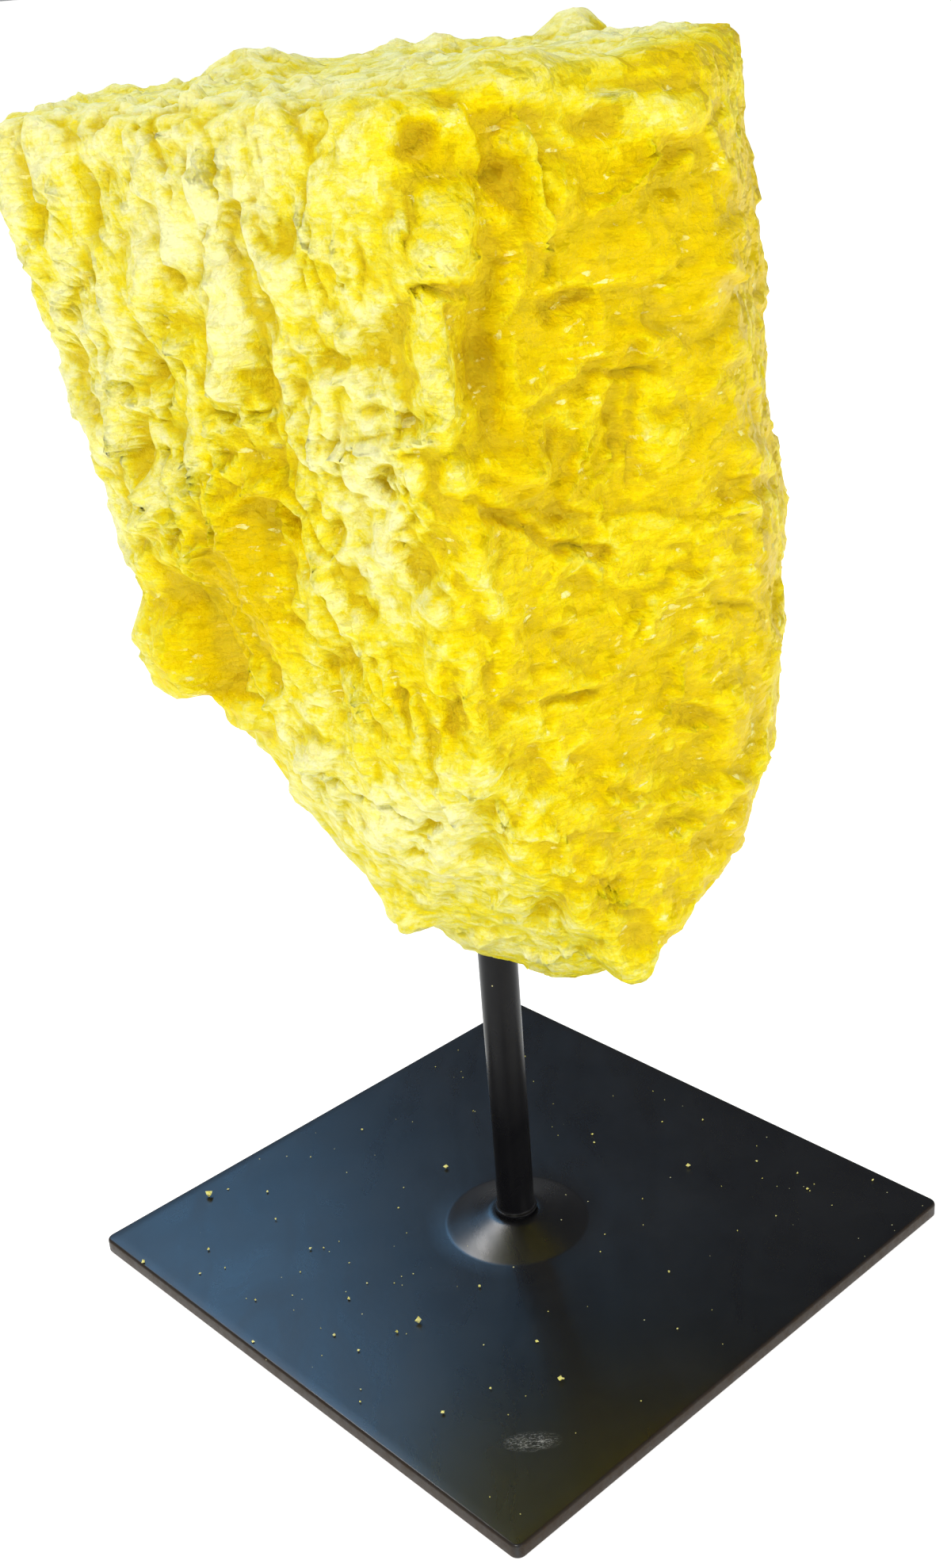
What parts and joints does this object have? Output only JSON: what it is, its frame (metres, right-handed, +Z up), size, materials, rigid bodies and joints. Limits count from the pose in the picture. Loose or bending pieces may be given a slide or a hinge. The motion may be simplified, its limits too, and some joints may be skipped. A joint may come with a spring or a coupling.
{
  "type": "mineral specimen on stand",
  "caption": "Rough mass of native sulfur held up on a thin black post above a square black metal plate.",
  "frame": {"origin": "on the post's axis, in the underside of the base plate", "axes": "+Z up along the post; -Y is the stone's display side, with +X to the viewer's right. The plate's sides are turned 48 degrees from X and Y, so a corner points at the viewer"},
  "size_m": [0.142, 0.142, 0.1925],
  "materials": {
    "sulfur": "resinous, rough broken surface",
    "stand_paint": "satin black",
    "screw_steel": "zinc plated"
  },
  "bodies": {
    "root": {"sulfur_specimen": "sulfur", "post": "stand_paint", "base_plate": "stand_paint", "post_screw": "screw_steel"}
  },
  "joints": []
}
